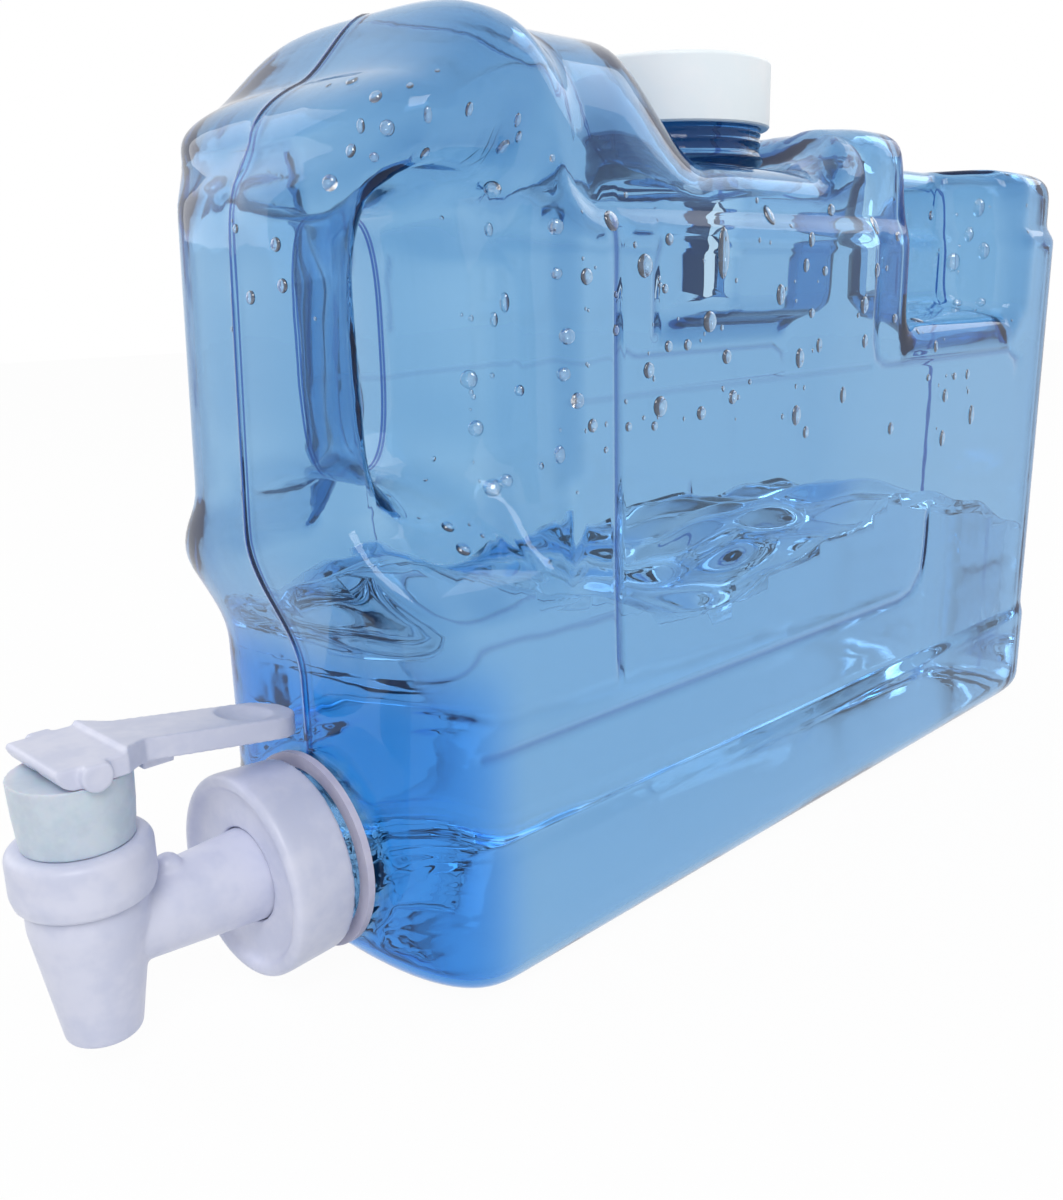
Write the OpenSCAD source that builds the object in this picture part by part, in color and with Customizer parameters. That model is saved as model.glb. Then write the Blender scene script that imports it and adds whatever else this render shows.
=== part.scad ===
// Slimline drinking-water dispenser for a fridge shelf: a blown bottle with a lever tap and a screw cap.
// Millimetres, Z up. The origin is the centre of the bottle's base face. The tap points along -Y.
// Inside the bottle's own functions s is the distance behind the plane of the side panels' front edge.

/* [Bottle] */
// Length of the bottle without the bow of its front
bottle_len = 415; // [395:1:450]
// Width of the bottle over its side bands
bottle_w = 140; // [130:1:160]
// Wall of the blown bottle
wall = 2.2; // [1.6:0.1:3]
// Height of the shoulder line along the sides
shoulder_h = 246; // [242:1:252]
// How far the crown that the neck stands on rises over the shoulder
crown_rise = 18; // [16:1:22]
// How much higher the side wall is under the front hump
hump_side_rise = 16; // [12:1:20]
// How far the front hump rises over the crown
front_hump_rise = 38; // [34:1:46]
// Length of the front hump, to the foot of its rear slope
front_hump_len = 154; // [146:1:156]
// How far the hump behind the neck rises over the crown
rear_hump_rise = 17; // [12:1:24]
// How far the rear end rises over the crown
tail_rise = 8; // [5:1:14]
// Radius of the edge round the base
base_r = 14; // [8:0.5:20]
// Height of the plain band round the foot
band_h = 50; // [40:1:54]
// Depth of the step from the band to the side panels
panel_step = 1.5; // [0.5:0.1:2.5]
// How far the lower front bows out of the side panels' plane
front_bow = 8; // [4:0.5:8]

/* [Grip column and handle hole] */
// Width of the column in front of the handle hole
column_w = 86; // [80:1:92]
// How far the column stands out past the lower front
column_out = 16; // [10:0.5:17]
// How far the column leans back in every 100 mm of height
column_lean = 4; // [2:0.5:6]
// Height where the lower front starts to swell into the column
chin_lo = 100; // [97:1:104]
// Height where the front has reached the column
chin_hi = 150; // [145:1:156]
// Distance back to the step that ends the recess beside the handle hole
recess_end = 44; // [42:1:56]
// Length of the handle hole from front to rear, at its waist
hole_len = 29; // [26:1:31]
// Height of the handle hole's lower edge over the chin, at its waist
hole_foot = 14; // [11:1:15]
// How much lower the handle hole is than the column between chin and shoulder
hole_margin = 16; // [13:1:30]
// Distance back to the middle of the handle hole
hole_mid_s = 16.5; // [15:0.5:18]
// How far the hole's mouth flares out all round
hole_flare = 12; // [8:0.5:13]

/* [Rear grips] */
// Width of the bottle between the two rear grips
grip_w = 64; // [50:1:76]
// Length of each rear grip
grip_len = 101; // [96:1:110]
// Distance from the rear end forward to the rear grips
grip_inset = 54; // [46:1:60]
// Height of the floor of the rear grips
grip_floor_h = 206; // [195:1:214]

/* [Neck and cap] */
// How far the middle of the neck stands behind the front hump's foot
neck_set = 28; // [26:1:32]
// Radius of the neck
neck_r = 34.5; // [30:0.5:36]
// Wall of the neck
neck_wall = 2.6; // [2:0.1:3.5]
// Height of the neck's mouth above the crown
neck_len = 35; // [33:1:38]
// Length of the cap's skirt over the neck
cap_over_neck = 20; // [14:1:24]
// Wall of the cap
cap_wall = 3.2; // [2.4:0.1:4]
// Thickness of the cap's top
cap_top = 2.6; // [2:0.1:4]
// Thickness of the liner in the cap
liner_t = 1.2; // [0.8:0.1:2]

/* [Port and collar] */
// Height of the port's axis
port_h = 40; // [38:0.5:44]
// Radius of the port's neck
port_r = 29; // [27.5:0.5:29.5]
// Wall of the port's neck
port_wall = 3; // [2.4:0.1:4]
// How far the flat land round the port stands in front of the side panels' plane
land_out = 9.5; // [9:0.1:10.5]
// How far the port's neck stands out past its land
port_len = 18.5; // [16:0.5:20]
// Radius of the land and of the ring washer on it
land_r = 34; // [32:0.5:35]
// Thickness of the ring washer on the land
washer_t = 2.5; // [1.5:0.1:3]
// Gap between the ring washer and the collar
washer_gap = 4.5; // [3:0.5:6]
// Wall of the collar at its rear
collar_wall = 3.6; // [3:0.1:4.5]
// Thickness of the gasket on the port's rim
gasket_t = 1.5; // [1:0.1:2.5]
// Thickness of the tap's flange
flange_t = 3; // [2:0.1:4]
// Thickness of the collar's web in front of the flange
collar_web = 3; // [2:0.1:4]
// Depth of the dish in the collar's front
collar_dish = 3; // [1.5:0.1:4]

/* [Tap] */
// Distance from the side panels' plane forward to the tap's upright axis
tap_reach = 87; // [84:0.5:92]
// Radius of the tap's arm at the upright body
arm_r = 11.6; // [10.6:0.1:12]
// Radius of the tap's arm at the collar
arm_root_r = 15.6; // [14:0.1:16]
// Radius of the bore in the arm
arm_bore_r = 8.8; // [7:0.1:9.2]
// Height of the spout's mouth
spout_h = 9.5; // [7:0.5:12]
// Radius of the spout at its mouth
spout_r = 11.2; // [10.8:0.1:12]
// Radius of the tap body under the bonnet ring
body_r = 17.2; // [17:0.1:18.4]
// Height of the shoulder under the bonnet ring
body_top_h = 53.8; // [53.4:0.1:55]
// Height of the tap body's rim inside the bonnet ring
rim_h = 62.5; // [60:0.5:62.5]
// Height of the valve seat
seat_h = 23.5; // [22:0.5:26]
// Radius of the seat's hole
seat_r = 7.5; // [6:0.1:7.8]
// Radius of the valve chamber
chamber_r = 14.4; // [13.4:0.1:14.6]
// Radius of the bonnet ring
ring_r = 20.4; // [20:0.1:21.5]
// Height of the bonnet ring over the tap body's rim
ring_over_rim = 9.5; // [9:0.5:12]
// Radius of the sleeve over the bonnet ring
sleeve_low_r = 15.8; // [15:0.1:16.4]
// Radius of the sleeve at its top
sleeve_r = 17.1; // [16.5:0.1:17.5]
// Height of the sleeve over the bonnet ring
sleeve_over_ring = 21; // [19:0.5:24]
// Radius of the valve stem
stem_r = 2.4; // [2.2:0.1:2.8]

/* [Lever] */
// Height of the lever's pin over the sleeve's top
pin_over_sleeve = 3.4; // [3.3:0.1:3.6]
// Radius of the lever's pin
pin_r = 1.1; // [0.9:0.05:1.3]
// Distance from the pin to the lever's tip
lever_len = 72.5; // [66:0.5:73]
// Width of the lever's arm
lever_w = 22; // [18:0.5:25]
// Thickness of the lever's arm
lever_t = 7; // [5.5:0.1:7.5]
// Angle by which the lever's arm droops from the level
lever_droop = 8.5; // [5:0.5:10]
// Width of the lever's hub
hub_w = 33; // [30:0.5:34]
// Height of the hub's flat top over the pin
hub_top = 3.5; // [3.3:0.1:4.4]
// How far the stem rises as the lever tips through one radian
cam_rise = 5; // [4:0.1:5.4]

/* [Fits] */
// Gap between a screwed piece and what it is screwed on
thread_gap = 0.5; // [0.3:0.05:0.8]
// Gap round a piece that turns or slides in another
running_gap = 0.05; // [0.03:0.01:0.08]
// Gap between loose pieces that lie on each other
seat_gap = 0.2; // [0.1:0.05:0.3]

/* [Hidden] */
$fn = 96;
tiny = 0.01;

// Where the pieces stand
front_y = -bottle_len / 2;
tap_y = front_y - tap_reach;
crown_h = shoulder_h + crown_rise;
hump_side_h = shoulder_h + hump_side_rise;
front_hump_h = crown_h + front_hump_rise;
rear_hump_h = crown_h + rear_hump_rise;
tail_h = crown_h + tail_rise;
hole_h = shoulder_h - chin_hi - hole_margin;
hole_mid_h = chin_hi + hole_foot + hole_h / 2;
neck_s = front_hump_len + neck_set;
neck_y = front_y + neck_s;
neck_top_h = crown_h + neck_len;
ring_top_h = rim_h + ring_over_rim;
sleeve_top_h = ring_top_h + sleeve_over_ring;
pin_h = sleeve_top_h + pin_over_sleeve;

// Stations along the bottle
front_depth = 28;
column_depth = 15;
hump_depth = 33;
brow_set = 8;
rear_depth = 27;
grip_s0 = bottle_len - grip_inset - grip_len;
grip_s1 = bottle_len - grip_inset;
front_fall = 46;
head_s = 40;
head_fall = 24;
ridge_sweep = 30;
brow_end = 35;
ear_s = 6;
ear_len = 28;
ear_share = 0.4;
rear_rise_s = neck_s + 40;
rear_rise_len = 18;
rear_fall_len = 18;
tail_round = 30;
soft = 5;
band_soft = 4;
hump_inset = 4;
sill_lo = chin_hi - 23;
sill_hi = chin_hi + 10;
lintel_lo = shoulder_h;
lintel_hi = hump_side_h;
steady_h = shoulder_h - 18;
front_n = 3;
rear_n = 4;
head_n = 3.6;
ridge_n = 2.5;
top_n = 3.3;
tail_n = 6;
brow_n = 1.8;

// Grid of the bottle's skin
front_steps = 8;
rear_steps = 6;
across = 8;
base_steps = 3;

// Sizes of the small pieces
neck_in_r = neck_r - neck_wall;
cap_in_r = neck_r + thread_gap;
cap_r = cap_in_r + cap_wall;
cap_low_h = neck_top_h - cap_over_neck;
liner_low_h = neck_top_h + seat_gap;
cap_top_h = liner_low_h + liner_t + cap_top;
port_in_r = port_r - port_wall;
pad_out = front_bow - wall - 2.5;
port_end = land_out + port_len;
collar_rear = land_out + washer_t + washer_gap;
collar_in_r = port_r + thread_gap;
collar_rear_r = collar_in_r + collar_wall;
collar_front_r = collar_rear_r + 1;
gasket_end = port_end + gasket_t;
flange_end = gasket_end + flange_t;
collar_web_end = flange_end + collar_web;
collar_end = collar_web_end + collar_dish;
seat_floor_r = spout_r - 0.2;
chamber_taper = 20;
cup_flange_t = 2;
foot_t = 3.6;
foot_low_h = rim_h + cup_flange_t + seat_gap;
foot_top_h = foot_low_h + foot_t;
thread_r = body_r - 0.6;
ring_in_r = thread_r + thread_gap;
foot_r = ring_in_r - thread_gap;
spigot_r = foot_r - 2.2;
sleeve_in_r = spigot_r - 2;
guide_t = 3.5;
barb_r = 5;
barb_low_h = seat_h + 3;
barb_t = 3.5;
eye_gap = 0.25;
ring_round = 3;
collar_round = 5;
spout_wall = 2.2;
tip_angle = 75;

function ramp(a, b, t) = let (u = min(1, max(0, (t - a) / (b - a)))) u * u * (3 - 2 * u);
function arch(u, n) = pow(1 - pow(min(1, abs(u)), n), 1 / n);
function spread(a, b, n) = [for (i = [1 : n]) a + (b - a) * i / (n + 1)];
function bend(s) = [s - soft, s, s + soft];
function turn(s) = [s - soft, s - soft / 2, s, s + soft / 2, s + soft];

// The bottle's skin. g is how far the surface lies outside the true one, so the inner face has g = -wall.
function recess(s, z, g) =
    (1 - ramp(recess_end - g - soft, recess_end - g + soft, s))
    * ramp(sill_lo + g, sill_hi + g, z) * (1 - ramp(lintel_lo - g, lintel_hi - g, z));

function grip(s, z, g) =
    ramp(grip_s0 + g - soft, grip_s0 + g + soft, s)
    * (1 - ramp(grip_s1 - g - soft, grip_s1 - g + soft, s))
    * ramp(grip_floor_h + g - soft, grip_floor_h + g + soft, z);

function half_width(s, z, g) = let (panel = bottle_w / 2 - panel_step)
    bottle_w / 2 + g - panel_step * ramp(band_h - band_soft, band_h + band_soft, z)
    - (panel - column_w / 2) * recess(s, z, g) - (panel - grip_w / 2) * grip(s, z, g)
    - hump_inset * ramp(lintel_lo, lintel_hi, z);

function front_at(z, g) =
    -front_bow - g - column_out * ramp(chin_lo - g, chin_hi - g, z)
    + column_lean * max(0, z - chin_hi) / 100 + brow_set * ramp(lintel_lo, lintel_hi, z);

function front_round(z) =
    front_depth + (column_depth - front_depth) * ramp(chin_lo, sill_hi, z)
    + (hump_depth - column_depth) * ramp(lintel_lo, lintel_hi, z);

function side_top(s) =
    shoulder_h + (hump_side_h - shoulder_h) * (1 - ramp(head_s, head_s + head_fall, s));

// How square the roof is across: square over the grip column and at the rear, rounder along the ridge between
function roof_n(s) = head_n + (ridge_n - head_n) * ramp(head_s - 4, head_s + head_fall, s)
    + (top_n - ridge_n) * ramp(front_hump_len - front_fall, front_hump_len, s)
    + (tail_n - top_n) * ramp(rear_rise_s, rear_rise_s + rear_rise_len, s);

// Height of the roof. sweep brings both slopes beside the neck forward, as it does towards the sides.
function crest(s, g, sweep = 0) = let (
    s0 = front_at(lintel_hi, g),
    fall = ramp(front_hump_len - front_fall + g, front_hump_len + g, s + sweep),
    rise = ramp(rear_rise_s - g, rear_rise_s - g + rear_rise_len, s + sweep),
    drop = ramp(grip_s0 + g, grip_s0 + g + rear_fall_len, s),
    hump = crown_h + (front_hump_h - crown_h) * (1 - fall) + (rear_hump_h - crown_h) * rise
        - (rear_hump_h - tail_h) * drop,
    low = side_top(s),
    lead = s < brow_end ? arch((brow_end - s) / (brow_end - s0), brow_n) : 1,
    ear = ramp(ear_s - g, ear_s - g + ear_len, s),
    tail_s = bottle_len + g - tail_round,
    trail = s > tail_s ? arch((s - tail_s) / tail_round, 3) : 1)
    low + (hump - low) * (lead + (ear - lead) * ear_share) * trail + g;

side_stations = concat(
    bend(recess_end),
    spread(recess_end + soft, head_s + head_fall, 1), [head_s + head_fall],
    spread(head_s + head_fall, front_hump_len - front_fall, 2), [front_hump_len - front_fall],
    spread(front_hump_len - front_fall, front_hump_len, 4), [front_hump_len],
    spread(front_hump_len, rear_rise_s, 1), [rear_rise_s],
    spread(rear_rise_s, rear_rise_s + rear_rise_len, 1), [rear_rise_s + rear_rise_len],
    turn(grip_s0), spread(grip_s0 + soft, grip_s0 + rear_fall_len + soft, 1),
    spread(grip_s0 + rear_fall_len, grip_s1 - soft, 1), turn(grip_s1));

levels = concat(
    [28, band_h - band_soft, band_h + band_soft, chin_lo], spread(chin_lo, sill_hi, 5), [sill_hi],
    turn(grip_floor_h), [steady_h, lintel_lo], spread(lintel_lo, lintel_hi, 3), [lintel_hi]);

// One level as [nominal height, inset of the outline]
function skin_levels(g) = let (r = base_r + g) concat(
    [for (i = [0 : base_steps]) let (a = 90 * i / base_steps) [r * (1 - cos(a)) - g, r * (1 - sin(a))]],
    [for (z = levels) [z, 0]]);

// Half of one level's outline, from the middle of the front round to the middle of the rear
function half_outline(level, g) = let (
    z = level[0],
    inset = level[1],
    s_front = front_at(z, g) + inset,
    depth = front_round(z),
    a = half_width(s_front + depth, z, g) - inset,
    s_rear = bottle_len + g - inset,
    b = half_width(s_rear - rear_depth, z, g) - inset)
    concat(
        [for (i = [0 : front_steps]) let (t = 90 * i / front_steps)
            [a * pow(sin(t), 2 / front_n), s_front + depth * (1 - pow(cos(t), 2 / front_n))]],
        [for (s = concat(spread(s_front + depth, recess_end - soft, 2), side_stations,
            spread(grip_s1 + soft, s_rear - rear_depth, 1))) [half_width(s, z, g) - inset, s]],
        [for (i = [0 : rear_steps]) let (t = 90 * i / rear_steps)
            [b * pow(cos(t), 2 / rear_n), s_rear - rear_depth * (1 - pow(sin(t), 2 / rear_n))]]);

function true_height(s, z, g) =
    z < steady_h ? z : steady_h + (z - steady_h) * (side_top(s) + g - steady_h) / (lintel_hi - steady_h);

function ring(level, g) = let (half = half_outline(level, g), n = len(half)) concat(
    [for (p = half) [p[0], p[1], true_height(p[1], level[0], g)]],
    [for (i = [n - 2 : -1 : 1]) let (p = half[i]) [-p[0], p[1], true_height(p[1], level[0], g)]]);

function triangles(quads) = [for (q = quads) for (t = [[q[0], q[1], q[2]], [q[0], q[2], q[3]]])
    if (t[0] != t[1] && t[1] != t[2] && t[2] != t[0]) t];

// Closed skin of the whole bottle without its neck and port
module skin(g) {
    shells = skin_levels(g);
    rings = [for (level = shells) ring(level, g)];
    m = len(rings[0]);
    half = m / 2;
    last = len(rings) - 1;
    rim = rings[last];
    inner = [for (j = [1 : half - 1]) for (i = [1 : across - 1]) let (
        f = cos(180 * i / across),
        p = rim[j],
        low = side_top(p[1]) + g)
        [p[0] * f, p[1], low + (crest(p[1], g, ridge_sweep * f * f) - low) * arch(f, roof_n(p[1]))]];
    function top(j, i) = j == 0 ? last * m : j == half ? last * m + half
        : i == 0 ? last * m + j : i == across ? last * m + m - j
        : (last + 1) * m + (j - 1) * (across - 1) + i - 1;
    walls = [for (k = [0 : last - 1]) for (j = [0 : m - 1]) let (n = (j + 1) % m)
        [k * m + j, (k + 1) * m + j, (k + 1) * m + n, k * m + n]];
    floor_quads = [for (j = [0 : half - 1]) [j, j + 1, (m - j - 1) % m, (m - j) % m]];
    roof = [for (j = [0 : half - 1]) for (i = [0 : across - 1])
        [top(j, i), top(j, i + 1), top(j + 1, i + 1), top(j + 1, i)]];
    polyhedron(concat([for (r = rings) each r], inner), triangles(concat(walls, floor_quads, roof)));
}

// The handle hole, flared from its waist to both mouths. g grows it for the wall round it.
module handle_hole(g) {
    reach = bottle_w / 2 + 2;
    xs = [for (u = [-1, -0.62, -0.5, -0.38, -0.22, 0, 0.22, 0.38, 0.5, 0.62, 1]) u * reach];
    steps = 28;
    rings = [for (x = xs) let (
        flare = hole_flare * min(1, pow(abs(x) * 2 / column_w, 2.5)),
        a = hole_len / 2 + flare + g,
        b = hole_h / 2 + flare * 0.8 + g)
        [for (i = [0 : steps - 1]) let (t = 360 * i / steps)
            [x, hole_mid_s + a * sign(cos(t)) * pow(abs(cos(t)), 0.6),
             hole_mid_h + b * sign(sin(t)) * pow(abs(sin(t)), 0.6)]]];
    last = len(rings) - 1;
    walls = [for (k = [0 : last - 1]) for (j = [0 : steps - 1]) let (n = (j + 1) % steps)
        [k * steps + j, (k + 1) * steps + j, (k + 1) * steps + n, k * steps + n]];
    ends = [for (j = [1 : steps - 2]) each [[0, j, j + 1], [last * steps, last * steps + j + 1, last * steps + j]]];
    polyhedron([for (r = rings) each r], concat(triangles(walls), ends));
}

// Sets a shape that is drawn up the Z axis on the port's axis, pointing forward
module on_port_axis() {
    translate([0, front_y, port_h]) rotate([90, 0, 0]) children();
}

module on_tap_axis() {
    translate([0, tap_y, 0]) children();
}

// Sets a flat outline of the lever, drawn as [forward to back, height] from its pin, across the tap
module on_pin(width) {
    translate([0, tap_y, pin_h]) rotate([90, 0, 90]) linear_extrude(width, center = true) children();
}

module tube(r_out, r_in, low, high) {
    translate([0, 0, low]) difference() {
        cylinder(r = r_out, h = high - low);
        translate([0, 0, -1]) cylinder(r = r_in, h = high - low + 2);
    }
}

// The blown wall, open at the neck and the port, drawn to the bottle's full width
module blown_wall() {
    resize([bottle_w, 0, 0]) difference() {
        translate([0, front_y, 0]) skin(0);
        difference() {
            translate([0, front_y, 0]) skin(-wall);
            translate([0, front_y, 0]) handle_hole(wall);
        }
        translate([0, front_y, 0]) handle_hole(0);
        translate([0, neck_y, shoulder_h]) cylinder(r = neck_in_r - 2, h = shoulder_h);
        on_port_axis() cylinder(r = port_in_r - 2, h = shoulder_h);
    }
}

module bottle() {
    neck_low_h = crown_h - wall / 2;
    color([0.55, 0.72, 0.9, 0.5]) difference() {
        union() {
            blown_wall();
            translate([0, neck_y, neck_low_h]) cylinder(r = neck_r, h = neck_top_h - neck_low_h);
            on_port_axis() translate([0, 0, pad_out]) cylinder(r = land_r, h = land_out - pad_out);
            on_port_axis() translate([0, 0, pad_out]) cylinder(r = port_r, h = port_end - pad_out);
        }
        translate([0, neck_y, shoulder_h]) cylinder(r = neck_in_r, h = neck_top_h);
        on_port_axis() translate([0, 0, -wall]) cylinder(r = port_in_r, h = port_end + 10);
    }
}

module screw_cap() {
    edge = 1.6;
    color([0.9, 0.95, 1]) translate([0, neck_y, 0]) rotate_extrude() polygon([
        [cap_in_r, cap_low_h], [cap_r - 0.6, cap_low_h], [cap_r, cap_low_h + 0.6], [cap_r, cap_top_h - edge],
        for (a = [15 : 15 : 90]) [cap_r - edge + edge * cos(a), cap_top_h - edge + edge * sin(a)],
        [0, cap_top_h], [0, cap_top_h - cap_top], [cap_in_r, cap_top_h - cap_top]]);
}

module cap_liner() {
    color([0.85, 0.85, 0.82]) translate([0, neck_y, liner_low_h]) cylinder(r = neck_r, h = liner_t);
}

module port_washer() {
    color([0.9, 0.86, 0.9]) on_port_axis() tube(land_r, port_r + seat_gap, land_out, land_out + washer_t);
}

module collar() {
    bead = collar_round / 2;
    color([0.93, 0.93, 0.96]) on_port_axis() rotate_extrude() polygon([
        [collar_in_r, collar_rear], [collar_rear_r, collar_rear], [collar_front_r, collar_end - 4],
        for (a = [15 : 15 : 165]) [collar_front_r - bead + bead * cos(a), collar_end - bead + bead * sin(a)],
        [collar_front_r - collar_round - 2, collar_web_end], [arm_root_r + seat_gap, collar_web_end],
        [arm_root_r + seat_gap, flange_end], [collar_in_r, flange_end]]);
}

module flange_gasket() {
    color([0.7, 0.72, 0.75]) on_port_axis() tube(port_r, port_in_r, port_end, gasket_end);
}

module tap_body() {
    arm_len = tap_reach - flange_end;
    color([0.93, 0.93, 0.96]) difference() {
        union() {
            on_tap_axis() rotate_extrude() polygon([[0, spout_h], [spout_r - 0.6, spout_h], [spout_r, spout_h + 0.6],
                [body_r, body_top_h - 7], [body_r, body_top_h], [thread_r, body_top_h], [thread_r, rim_h], [0, rim_h]]);
            on_port_axis() translate([0, 0, flange_end]) cylinder(r1 = arm_root_r, r2 = arm_r, h = arm_len);
            on_port_axis() translate([0, 0, gasket_end]) cylinder(r = port_r, h = flange_t);
            translate([0, tap_y + ring_r + 5, port_h + arm_r + 1.5]) sphere(r = 4.5);
        }
        on_port_axis() translate([0, 0, gasket_end - 1]) cylinder(r = arm_bore_r, h = tap_reach - gasket_end + 1);
        on_tap_axis() translate([0, 0, seat_h]) cylinder(r1 = seat_floor_r, r2 = chamber_r, h = chamber_taper);
        on_tap_axis() translate([0, 0, seat_h + chamber_taper]) cylinder(r = chamber_r, h = rim_h);
        on_tap_axis() translate([0, 0, spout_h - 1]) cylinder(r = seat_r, h = seat_h);
        on_tap_axis() translate([0, 0, spout_h - 1])
            cylinder(r1 = spout_r - spout_wall, r2 = spout_r - spout_wall + 1, h = seat_h - spout_h - 1);
    }
}

module bonnet_ring() {
    low = body_top_h + seat_gap;
    web_low_h = foot_top_h + seat_gap;
    color([0.93, 0.93, 0.96]) on_tap_axis() rotate_extrude() polygon([
        [ring_in_r, low], [ring_r - ring_round, low], [ring_r - 0.3 * ring_round, low + 0.5 * ring_round],
        [ring_r, low + 1.6 * ring_round], [ring_r, ring_top_h - ring_round],
        for (a = [15 : 15 : 90]) [ring_r - ring_round * (1 - cos(a)), ring_top_h - ring_round * (1 - sin(a))],
        [spigot_r + running_gap, ring_top_h], [spigot_r + running_gap, web_low_h], [ring_in_r, web_low_h]]);
}

module sleeve() {
    low = ring_top_h + seat_gap;
    color([0.84, 0.9, 0.9]) on_tap_axis() rotate_extrude() polygon([
        [sleeve_in_r, foot_low_h], [foot_r, foot_low_h], [foot_r, foot_top_h], [spigot_r, foot_top_h],
        [spigot_r, low], [sleeve_low_r, low], [sleeve_low_r + 0.9, (low + sleeve_top_h) / 2],
        [sleeve_r, sleeve_top_h], [stem_r + running_gap, sleeve_top_h],
        [stem_r + running_gap, sleeve_top_h - guide_t], [sleeve_in_r, sleeve_top_h - guide_t]]);
}

module seat_cup() {
    plug_r = (seat_r + seat_floor_r) / 2;
    bell_r = chamber_r - 5.6;
    low = seat_h + seat_gap;
    high = rim_h + cup_flange_t;
    throat_h = barb_low_h + barb_t + seat_gap;
    color([0.8, 0.82, 0.8]) on_tap_axis() rotate_extrude() polygon([
        [0, low], [plug_r, low], [plug_r, low + 5], [bell_r, throat_h + 4], [bell_r, rim_h - 4],
        [bell_r + 3, rim_h], [foot_r, rim_h], [foot_r, high], [bell_r, high], [bell_r - 2, rim_h - 4],
        [bell_r - 2, throat_h + 4],
        [stem_r + 0.3, throat_h + 2], [stem_r + 0.3, throat_h], [barb_r + seat_gap, throat_h],
        [barb_r + seat_gap, barb_low_h - seat_gap], [0, barb_low_h - seat_gap]]);
}

module stem() {
    color([0.9, 0.9, 0.92]) difference() {
        union() {
            on_tap_axis() translate([0, 0, barb_low_h]) cylinder(r = stem_r, h = pin_h - barb_low_h);
            on_tap_axis() translate([0, 0, barb_low_h]) cylinder(r = barb_r, h = barb_t);
            intersection() {
                on_pin(2 * stem_r) circle(r = stem_r);
                on_tap_axis() translate([0, 0, pin_h - 2 * stem_r]) cylinder(r = stem_r, h = 4 * stem_r);
            }
        }
        on_pin(4 * stem_r) circle(r = pin_r + running_gap);
    }
}

module lever_pin() {
    color([0.8, 0.8, 0.82]) on_pin(hub_w) circle(r = pin_r);
}

// The heel's curve is an involute, so the pin rises evenly as the lever tips
cam_low = pin_over_sleeve - seat_gap;
function heel(a) = let (reach = cam_low + cam_rise * a * PI / 180)
    [-reach * sin(a) - cam_rise * cos(a), -reach * cos(a) + cam_rise * sin(a)];
hub_back = 10;
arm_rise = hub_top + 1.3;
arm_root = 14;

function arm_line(y) = arm_rise - (y - hub_back) * tan(lever_droop);

module lever() {
    tip_r = lever_w / 2;
    deep = lever_t / cos(lever_droop);
    ear_r = 4.6;
    ear_in = sleeve_r + 0.3;
    lug_y = ear_in + 0.3;
    slot = stem_r + eye_gap;
    fall = [-sin(tip_angle), -cos(tip_angle)];
    lift = [-cos(tip_angle), sin(tip_angle)];
    color([0.93, 0.93, 0.96]) difference() {
        union() {
            intersection() {
                on_pin(hub_w) polygon([
                    for (a = [0 : 5 : tip_angle]) heel(a),
                    [heel(tip_angle)[0] + 1, hub_top], [hub_back - 1, hub_top],
                    [hub_back, arm_line(hub_back)], [lever_len, arm_line(lever_len)],
                    [lever_len, arm_line(lever_len) - deep], [arm_root + 6, arm_line(arm_root + 6) - deep],
                    [arm_root, -cam_low]]);
                translate([0, tap_y, pin_h - 40]) linear_extrude(80) union() {
                    translate([-hub_w / 2, -20]) square([hub_w, 20 + hub_back]);
                    polygon([[-hub_w / 2, hub_back], [hub_w / 2, hub_back], [tip_r, hub_back + 8],
                        [-tip_r, hub_back + 8]]);
                    translate([-tip_r, hub_back]) square([lever_w, lever_len - tip_r - hub_back]);
                    translate([0, lever_len - tip_r]) circle(r = tip_r);
                }
            }
            on_pin(2 * (ear_in + 1.9)) intersection() {
                circle(r = ear_r);
                translate([-ear_r, -ear_r]) square([2 * ear_r, ear_r + hub_top]);
            }
            translate([-lever_w / 2 + 3, tap_y + lug_y, pin_h - pin_over_sleeve - 3.5])
                cube([lever_w - 6, 10, pin_over_sleeve + 3]);
        }
        on_tap_axis() translate([0, 0, pin_h - 20]) cylinder(r = ear_in, h = 20 - cam_low);
        on_pin(2 * slot) union() {
            circle(r = slot);
            polygon([[slot, 0], [slot, -hub_w], [-hub_w, -hub_w], slot * lift + hub_w * fall, slot * lift]);
        }
        on_pin(2 * (hub_w / 2 + seat_gap)) circle(r = pin_r + running_gap);
        translate([0, tap_y + lever_len - tip_r - 2, pin_h + arm_line(lever_len - tip_r - 2) + 22])
            sphere(r = 23.6);
    }
}

bottle();
screw_cap();
cap_liner();
port_washer();
collar();
flange_gasket();
tap_body();
bonnet_ring();
sleeve();
seat_cup();
stem();
lever_pin();
lever();
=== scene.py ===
import math
import random

import bmesh
import bpy
import numpy as np
from mathutils import Matrix, Vector
from mathutils.kdtree import KDTree


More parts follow.
